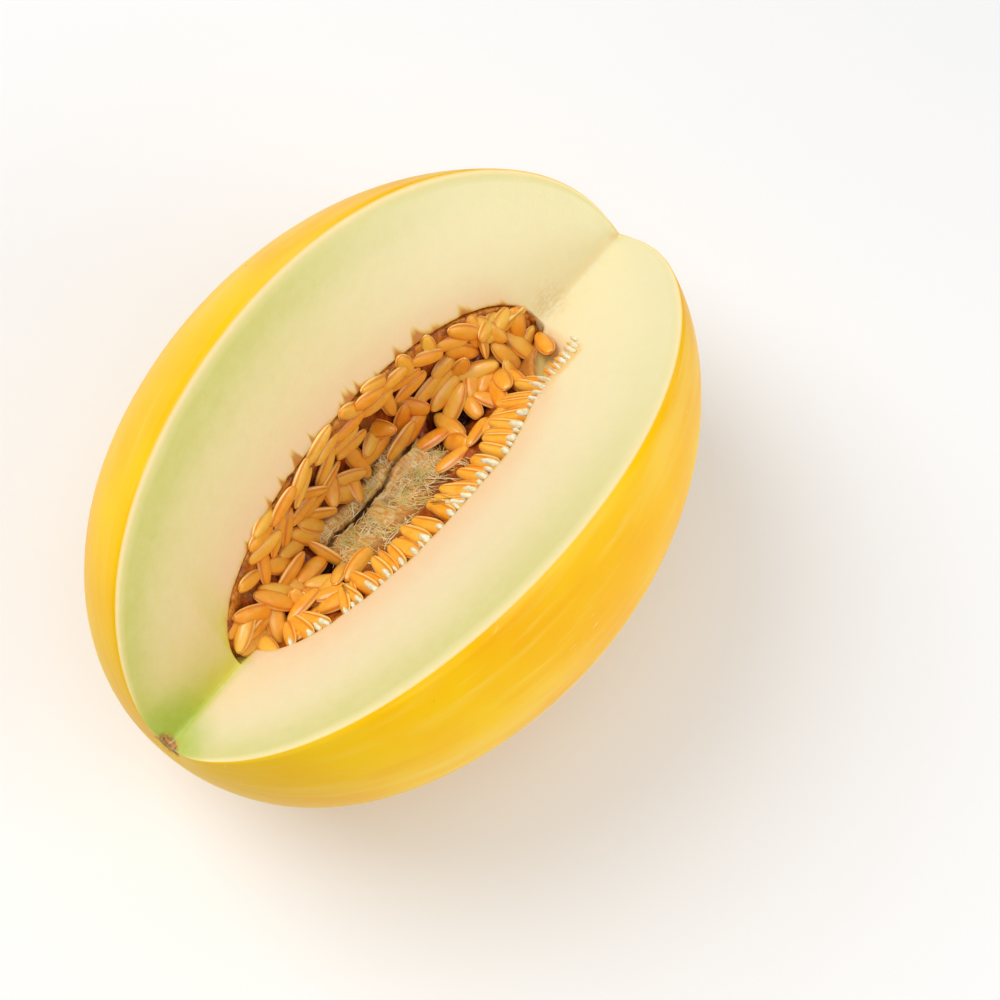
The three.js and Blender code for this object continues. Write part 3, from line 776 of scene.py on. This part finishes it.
def seedPose(node, cut=False):
    # centre, long axis towards the pointed end, wide axis and flat axis of a seed's CAD solid
    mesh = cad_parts[node].data
    points = np.zeros(len(mesh.vertices) * 3)
    mesh.vertices.foreach_get("co", points)
    points = np.unique(points.reshape(-1, 3).round(7), axis=0)
    middle = points.mean(0)
    axes = np.linalg.eigh(np.cov((points - middle).T))[1][:, ::-1].T
    local = (points - middle) @ axes.T
    if cut:
        # a cut seed's pointed end is the deep one
        if axes[0][2] > 0:
            axes[0] *= -1
            local[:, 0] *= -1
        centre = middle + axes[0] * (local[:, 0].max() - seedLook["length"] / 2)
    else:
        centre = middle + ((local.max(0) + local.min(0)) / 2) @ axes
        reach = np.hypot(local[:, 1], local[:, 2])
        if reach[local[:, 0] > 0].mean() > reach[local[:, 0] < 0].mean():
            axes[0] *= -1
    if axes[2][2] < 0:
        axes[2] *= -1
    axes[1] = np.cross(axes[2], axes[0])
    return centre, axes


def placed(skin, centre, axes):
    # x along the first axis, y along the second, z along the third, from the centre
    return skin @ axes + centre


def seedValues(skin, tint):
    # the attributes of a seed: its sharp edge, and one shade for each seed
    count, rows, columns = skin.shape[:3]
    edge = np.broadcast_to(seedEdge(rows, columns), (count, rows, columns))
    shade = np.broadcast_to(np.asarray(tint, float).reshape(-1, 1, 1), (count, rows, columns))
    return dict(edge=edge, tint=shade)


def seedMaterial():
    # orange with a darker line, partly painted shade, inside a pale rim, under a wet coat
    material, tree, shader = newMaterial("seedCoat", 0.28, 0.4)
    place = objectPlace(tree)
    edge = attribute(tree, "edge")
    tint = attribute(tree, "tint")
    colour = mix(tree, tint, rgb(255, 160, 22), rgb(255, 198, 74))
    patches = noise(tree, place, 3 * mm, 3, 0.6, (0.35, 0.7))
    colour = mix(tree, times(tree, patches, 0.45), colour, rgb(255, 210, 98))
    film = noise(tree, place, 5 * mm, 4, 0.6, (0.52, 0.62))
    colour = mix(tree, times(tree, film, 0.25), colour, rgb(246, 138, 14))
    # a darker line runs round inside the pale rim: partly the seed's own band, partly painted shade at its
    # rounded edge
    line = times(tree, span(tree, edge, 0.01, 0.12, 0, 1), span(tree, edge, 0.3, 0.6, 1, 0))
    colour = mix(tree, times(tree, line, 0.55), colour, rgb(210, 86, 2))
    colour = mix(tree, span(tree, edge, 0.45, 0.85, 0, 0.75), colour, rgb(255, 222, 140))
    tree.links.new(colour, shader.inputs["Base Color"])
    height = noise(tree, place, 1.2 * mm, 3, 0.6)
    bumpOf(tree, shader, height, 0.12 * mm, 0.6)
    shader.inputs["Coat Weight"].default_value = 0.45
    shader.inputs["Coat Roughness"].default_value = 0.06
    softInside(shader, 0.2, 1.2 * mm, (1.0, 0.6, 0.2))
    return material


def kernelMaterial():
    # white with cream patches
    material, tree, shader = newMaterial("seedKernel", 0.35, 0.5)
    place = objectPlace(tree)
    patches = noise(tree, place, 1.4 * mm, 3, 0.6, (0.35, 0.65))
    colour = mix(tree, patches, rgb(240, 226, 170), rgb(255, 250, 232))
    tree.links.new(colour, shader.inputs["Base Color"])
    bumpOf(tree, shader, noise(tree, place, 0.8 * mm, 3, 0.6), 0.25 * mm, 0.8)
    softInside(shader, 0.3, 1.5 * mm, (1.0, 0.8, 0.5))
    return material


def belowCut(points, centre, lifted):
    # points above the -Y cut, lifted a little, slide towards the seed's middle until they reach the cut
    origin = np.array([0, 0, creaseHeight])
    above = (points - origin) @ cutNormal - lifted
    under = max((origin - centre) @ cutNormal + lifted, 0.05 * mm)
    return centre + (points - centre) * np.minimum(1, under / (under + np.clip(above, 0, None)))[..., None]


rowLook = dict(
    dip=math.radians(42), below=1.2 * mm, outwards=0.5 * mm, kernelLength=7 * mm,
    flowerFrom=46 * mm, flowerTo=60 * mm, toothPitch=2.1 * mm, rows=34, columns=28,
)


def rowPlace(centre, axes, chance):
    # a cut seed turned up until it lies just under the cut, its blunt end at the flesh's edge
    look = rowLook
    level = np.array([axes[0][0], axes[0][1], 0])
    level = level / np.linalg.norm(level)
    long = level * math.cos(look["dip"]) - np.array([0, 0, math.sin(look["dip"])])
    long = long + np.array([chance.normal(0, 0.14), 0, -abs(chance.normal(0, 0.05))])
    long = long / np.linalg.norm(long)
    flat = axes[2] + chance.normal(0, 0.28) * np.array([1, 0, 0])
    flat = flat - long * (flat @ long)
    flat /= np.linalg.norm(flat)
    blunt = centre - axes[0] * seedLook["length"] / 2
    far = rowReach(blunt[0]) + look["outwards"]
    spot = np.array([blunt[0], -far * diagonal, far * diagonal + coreHeight - melon["cutBelowCore"]])
    spot = spot - cutNormal * look["below"]
    return spot, np.stack([long, np.cross(flat, long), flat])


def rowSeed(name, spot, axes, coat, kernel, chance, thin=1.0):
    # one seed of the row: its coat, held below the cut, and a sliver of white kernel at its blunt end
    look = seedLook
    tooth = thin < 0.6
    size = look["length"] * chance.uniform(0.95, 1.12), look["width"] * chance.uniform(0.85, 1.05) * thin
    size = (size[0] * (0.5 if tooth else 1), size[1])
    rows, columns = rowLook["rows"], rowLook["columns"]
    skin = seedSkin(*size, look["thickness"] * 1.1 * thin, rows, columns)
    hull = placed(skin, spot + axes[0] * size[0] / 2, axes)
    middle = spot + axes[0] * 3 * mm - cutNormal * 1.5 * mm
    hull = belowCut(hull, middle, -0.05 * mm)
    grown = 0.7 * chance.uniform(0.7, 1.1) if tooth else chance.uniform(0.35, 1.1) * thin
    length = rowLook["kernelLength"] * grown
    down = axes[0] - cutNormal * (axes[0] @ cutNormal)
    down = down / np.linalg.norm(down)
    turned = np.stack([down, np.cross(cutNormal, down), cutNormal])
    wide = 1.5 * mm if tooth else 1.9 * mm * thin
    sliver = seedSkin(length, wide * chance.uniform(0.6, 1.15), 2.7 * mm, rows, columns)
    notch = lumps(sliver + chance.uniform(0, 1, 3), 1.1 * mm, 41)[..., None]
    sliver = sliver * (1 + 0.22 * notch)
    sunk = 0.3 * mm if tooth else 0.5 * mm
    cut = np.array([0, -diagonal, diagonal])
    depth = creaseHeight
    far = (spot - [0, 0, depth]) @ cut
    surface = np.array([spot[0], 0, depth]) + cut * far - cutNormal * sunk
    inner = placed(sliver, surface + down * (length / 2 - 0.4 * mm), turned)
    grids = np.stack([hull, inner])
    piece = gridPiece(name, grids, [coat, kernel], None, seedValues(grids, chance.uniform(0, 1, 2)))
    # the first skin is the coat and the second the kernel, in quads and then in both fans
    quads = (rows - 3) * columns
    index = np.concatenate([np.repeat([0, 1], quads), np.tile(np.repeat([0, 1], columns), 2)])
    piece.data.polygons.foreach_set("material_index", index.astype(np.int32))
    return piece


def cutSeeds(coat, kernel):
    # the row: a seed for each CAD solid, thin ones between, and teeth at the flower end
    names = sorted(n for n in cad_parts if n.startswith("cut_seed"))
    chance = np.random.default_rng(3)
    poses = [rowPlace(*seedPose(name, True), chance) for name in names]
    # the teeth at the flower end point straight down the cut
    across = np.array([0.22, diagonal, -diagonal]) / np.linalg.norm([0.22, 1])
    toothAxes = np.stack([across, np.cross(cutNormal, across), cutNormal])
    for name, (spot, axes) in zip(names, poses):
        tooth = spot[0] > rowLook["flowerFrom"]
        spot = spot + cutNormal * (0.3 * mm if tooth else 0)
        axes = toothAxes if tooth else axes
        thin = 0.36 if tooth else 1.0
        piece = rowSeed(name.replace("cut_seed", "cutSeed"), spot, axes, coat, kernel, chance, thin)
        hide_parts(name)
    # thinner ones between them, and small teeth close together at the flower end
    number = 0
    for i in range(len(poses) - 1):
        spot = (poses[i][0] + poses[i + 1][0]) / 2
        if spot[0] < rowLook["flowerFrom"] and chance.uniform() < 0.65:
            number += 1
            spot = spot - cutNormal * chance.uniform(0.3, 1.6) * mm
            rowSeed(f"thinSeed_{number:02d}", spot, poses[i][1], coat, kernel, chance, 0.75)
    ends = np.array([spot[0] for spot, axes in poses if spot[0] > rowLook["flowerFrom"]])
    beyond = np.arange(ends[-1], rowLook["flowerTo"], rowLook["toothPitch"])[1:]
    teeth = np.concatenate([(ends[1:] + ends[:-1]) / 2, beyond])
    for number, x in enumerate(teeth + chance.uniform(-0.3, 0.3, len(teeth)) * mm, 1):
        far = rowReach(x) + rowLook["outwards"]
        spot = np.array([x, -far * diagonal, far * diagonal + coreHeight - melon["cutBelowCore"]])
        spot = spot - cutNormal * (rowLook["below"] - chance.uniform(0, 0.5) * mm)
        thin = chance.uniform(0.26, 0.38)
        rowSeed(f"toothSeed_{number:02d}", spot, toothAxes, coat, kernel, chance, thin)
    print("the row of cut seeds is made")


def wholeSeeds(coat):
    # a seed for each CAD solid, where that solid lies
    look = seedLook
    names = sorted(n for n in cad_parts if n.startswith("whole_seed"))
    chance = np.random.default_rng(5)
    poses = []
    for name in names:
        centre, axes = seedPose(name)
        size = look["length"], look["width"] * chance.uniform(0.92, 1.08), look["thickness"] * 1.25
        bend = chance.uniform(-0.4, 0.4) * mm
        skin = placed(seedSkin(*size, look["rows"], look["columns"], bend), centre, axes)[None]
        values = seedValues(skin, [chance.uniform(0, 1)])
        piece = gridPiece(name.replace("whole_seed", "wholeSeed"), skin, [coat], None, values)
        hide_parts(name)
        poses.append((centre, axes))
    return poses


heapLook = dict(
    count=82, apart=3.6 * mm, bead=1.75 * mm, rise=(0.4 * mm, 2.6 * mm), tilt=0.34, onEnd=0.25, steps=110,
)


def heapSeeds(coat, lying):
    # more whole seeds, heaped among those that lie there: each falls on a chance spot, then all are pushed
    # apart, each seed standing for three beads on its long axis, and drawn back down to the pulp
    look = heapLook
    chance = np.random.default_rng(11)
    fixed = np.array([centre for centre, axes in lying]) - [0, 0, coreHeight]
    fixedLong = np.array([axes[0] for centre, axes in lying])
    spots = []
    while len(spots) < look["count"]:
        x, y = chance.uniform(-69, 60) * mm, chance.uniform(-20, 22) * mm
        if len(spots) % 3 == 0:
            # every third one lies close to the +Y cut
            y = plusEdge(x) * diagonal - chance.uniform(0.8, 3.0) * mm
        # the row of cut seeds needs more room along the strands than at the stem end
        room = (3 + 4 * ease((x + 52 * mm) / (8 * mm)) + 5 * ease((x + 38 * mm) / (6 * mm))) * mm
        if x > 20 * mm:
            room = 7 * mm  # and less again at the flower end
        if y > plusEdge(x) * diagonal - 0.6 * mm or y < room - minusEdge(x) * diagonal:
            continue
        if x > 44 * mm and y < -2 * mm or strandsAt(np.array(x), np.array(y)) > 0.15:
            continue
        if math.hypot(x - 27 * mm, y - 2 * mm) < 6.5 * mm:
            continue
        near = np.array(spots + [(-1.0, 0.0)])
        if np.hypot(near[:, 0] - x, near[:, 1] - y).min() < look["apart"] and chance.uniform() > 0.004:
            continue
        spots.append((x, y))
    x, y = np.array(spots).T
    reach = 2.5 * mm
    slopeX = (pulpHeight(x + reach, y, False) - pulpHeight(x - reach, y, False)) / (2 * reach)
    slopeY = (pulpHeight(x, y + reach, False) - pulpHeight(x, y - reach, False)) / (2 * reach)
    facing = np.stack([-slopeX, -slopeY, np.ones_like(x)], -1)
    wild = np.where(chance.uniform(0, 1, len(x)) < look["onEnd"], 3.5, 1.0)[:, None]
    facing += chance.normal(0, look["tilt"], facing.shape) * wild
    facing /= np.linalg.norm(facing, axis=-1, keepdims=True)
    yaw = chance.uniform(0, 2 * math.pi, len(x))
    along = np.stack([np.cos(yaw), np.sin(yaw), 0 * yaw], -1)
    along -= facing * np.sum(along * facing, -1, keepdims=True)
    along /= np.linalg.norm(along, axis=-1, keepdims=True)
    z = pulpHeight(x, y, False) + chance.uniform(*look["rise"], len(x)) + 0.9 * mm
    centre = np.stack([x, y, z], -1)
    bead = np.array([-3.6, 0, 3.6])[:, None] * mm
    owner = np.repeat(np.arange(len(fixed) + len(x)), 3)
    other = owner[:, None] != owner[None]
    half = melon["cavityLength"] / 2 - 2.5 * mm
    for step in range(look["steps"]):
        every = np.concatenate([fixed, centre])
        long = np.concatenate([fixedLong, along])
        beads = (every[:, None] + bead * long[:, None]).reshape(-1, 3)
        apart = beads[:, None] - beads[None]
        distance = np.linalg.norm(apart, axis=-1) + 1e-9
        push = np.clip(2 * look["bead"] - distance, 0, None) * other
        move = (apart / distance[..., None] * push[..., None]).sum(1).reshape(-1, 3, 3).sum(1)[len(fixed):]
        centre += 0.22 * move
        ground = pulpHeight(centre[:, 0], centre[:, 1], False) + 2.0 * mm
        centre[:, 2] += 0.2 * (ground - centre[:, 2])
        # both ends are drawn back inside the cavity and below the cuts
        ends = centre[:, None] + np.array([-5.8, 5.8])[:, None] * mm * along[:, None]
        over = ends[..., 1] - plusEdge(ends[..., 0]) * diagonal - 0.2 * mm
        centre[:, 1] -= 0.5 * np.clip(over, 0, None).max(1)
        over = -ends[..., 1] - minusEdge(ends[..., 0]) * diagonal + 1.5 * mm
        centre[:, 1] += 0.5 * np.clip(over, 0, None).max(1)
        beyond = np.clip(np.abs(ends[..., 0] + melon["cavityTowardsStem"]) - half, 0, None).max(1)
        centre[:, 0] -= 0.5 * beyond * np.sign(centre[:, 0])
        high = ends[..., 2] - np.abs(ends[..., 1]) + melon["cutBelowCore"] + 0.1 * mm
        centre[:, 2] -= 0.5 * np.clip(high, 0, None).max(1)
    # the ones whose ends still stick out are left out
    ends = centre[:, None] + np.array([-5.4, 5.4])[:, None] * mm * along[:, None]
    inCavity = ends[..., 1] < plusEdge(ends[..., 0]) * diagonal + 1.2 * mm
    inCavity &= ends[..., 1] > -minusEdge(ends[..., 0]) * diagonal
    inCavity &= ends[..., 2] < np.abs(ends[..., 1]) - melon["cutBelowCore"] + 0.6 * mm
    kept = inCavity.all(1)
    print("seeds in the heap:", kept.sum())
    centre, along, facing = centre[kept], along[kept], facing[kept]
    size = seedLook["length"], seedLook["width"], seedLook["thickness"] * 1.25
    skin = seedSkin(*size, seedLook["rows"], seedLook["columns"])
    wide = np.cross(facing, along)
    grow = chance.uniform(0.92, 1.08, len(centre))
    axes = np.stack([along, wide, facing], 1)
    grids = np.einsum("rci,nij->nrcj", skin, axes) * grow[:, None, None, None] + centre[:, None, None]
    grids[..., 2] += coreHeight
    piece = gridPiece("heapSeeds", grids, [coat], None, seedValues(grids, chance.uniform(0, 1, len(centre))))


def turnedTo(back, up):
    # a turn whose z is back, whose x is up x back and whose y completes them
    back = Vector(back).normalized()
    right = Vector(up).cross(back).normalized()
    return Matrix((right, back.cross(right), back)).transposed()


def stageAndLight():
    # the camera stands back from the core by distance, then aside and lower
    shot = dict(distance=598.4 * mm, aside=26.44 * mm, lower=6.70 * mm, lens=77.1,
                back=(-0.35184, -0.11797, 0.92860), up=(0.71120, 0.61131, 0.34713))
    turned = turnedTo(shot["back"], shot["up"])
    camera = bpy.data.objects.new("camera", bpy.data.cameras.new("camera"))
    camera.data.lens = shot["lens"]
    camera.data.clip_start = 0.01
    spot = Vector((0, 0, coreHeight)) + turned @ Vector((shot["aside"], -shot["lower"], shot["distance"]))
    camera.matrix_world = Matrix.Translation(spot) @ turned.to_4x4()
    bpy.context.scene.collection.objects.link(camera)
    bpy.context.scene.camera = camera

    floorMesh = bpy.data.meshes.new("floor")
    reach = 3.0
    corners = [(-reach, -reach, 0), (reach, -reach, 0), (reach, reach, 0), (-reach, reach, 0)]
    floorMesh.from_pydata(corners, [], [(0, 1, 2, 3)])
    floor = bpy.data.objects.new("floor", floorMesh)
    paper, tree, shader = newMaterial("palePaper", 0.9, 0.1)
    shader.inputs["Base Color"].default_value = (0.92, 0.92, 0.92, 1)
    floorMesh.materials.append(paper)
    bpy.context.scene.collection.objects.link(floor)

    lamps = dict(
        key=dict(place=(-0.25, 0.75, 1.15), size=0.9, power=9.5),
        fill=dict(place=(0.3, -1.0, 0.5), size=1.0, power=5.0),
        top=dict(place=(-0.3, -0.1, 1.3), size=0.8, power=2.5),
    )
    for name, lamp in lamps.items():
        data = bpy.data.lights.new(name, "AREA")
        data.shape = "DISK"
        data.size = lamp["size"]
        data.energy = lamp["power"]
        light = bpy.data.objects.new(name, data)
        towards = Vector(lamp["place"]) - Vector((0, 0, coreHeight))
        aim = towards.to_track_quat("Z", "Y").to_matrix().to_4x4()
        light.matrix_world = Matrix.Translation(lamp["place"]) @ aim
        bpy.context.scene.collection.objects.link(light)
    world = bpy.data.worlds.new("softRoom")
    world.use_nodes = True
    world.node_tree.nodes["Background"].inputs["Color"].default_value = (1, 1, 1, 1)
    world.node_tree.nodes["Background"].inputs["Strength"].default_value = 0.45
    bpy.context.scene.world = world
    bpy.context.scene.view_settings.view_transform = "Standard"


stageAndLight()
print("camera, floor and lights are set")
fruit = fruitPiece(rindMaterial(), fleshMaterial())
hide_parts("melon_body")
print("rind and flesh are made")
pulp = pulpPiece(pulpMaterial())
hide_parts("seed_pulp")
print("pulp is made")
strands = strandPiece(strandMaterial())
print("strands are laid")
coat, kernel = seedMaterial(), kernelMaterial()
cutSeeds(coat, kernel)
heapSeeds(coat, wholeSeeds(coat))
print("seeds are laid")
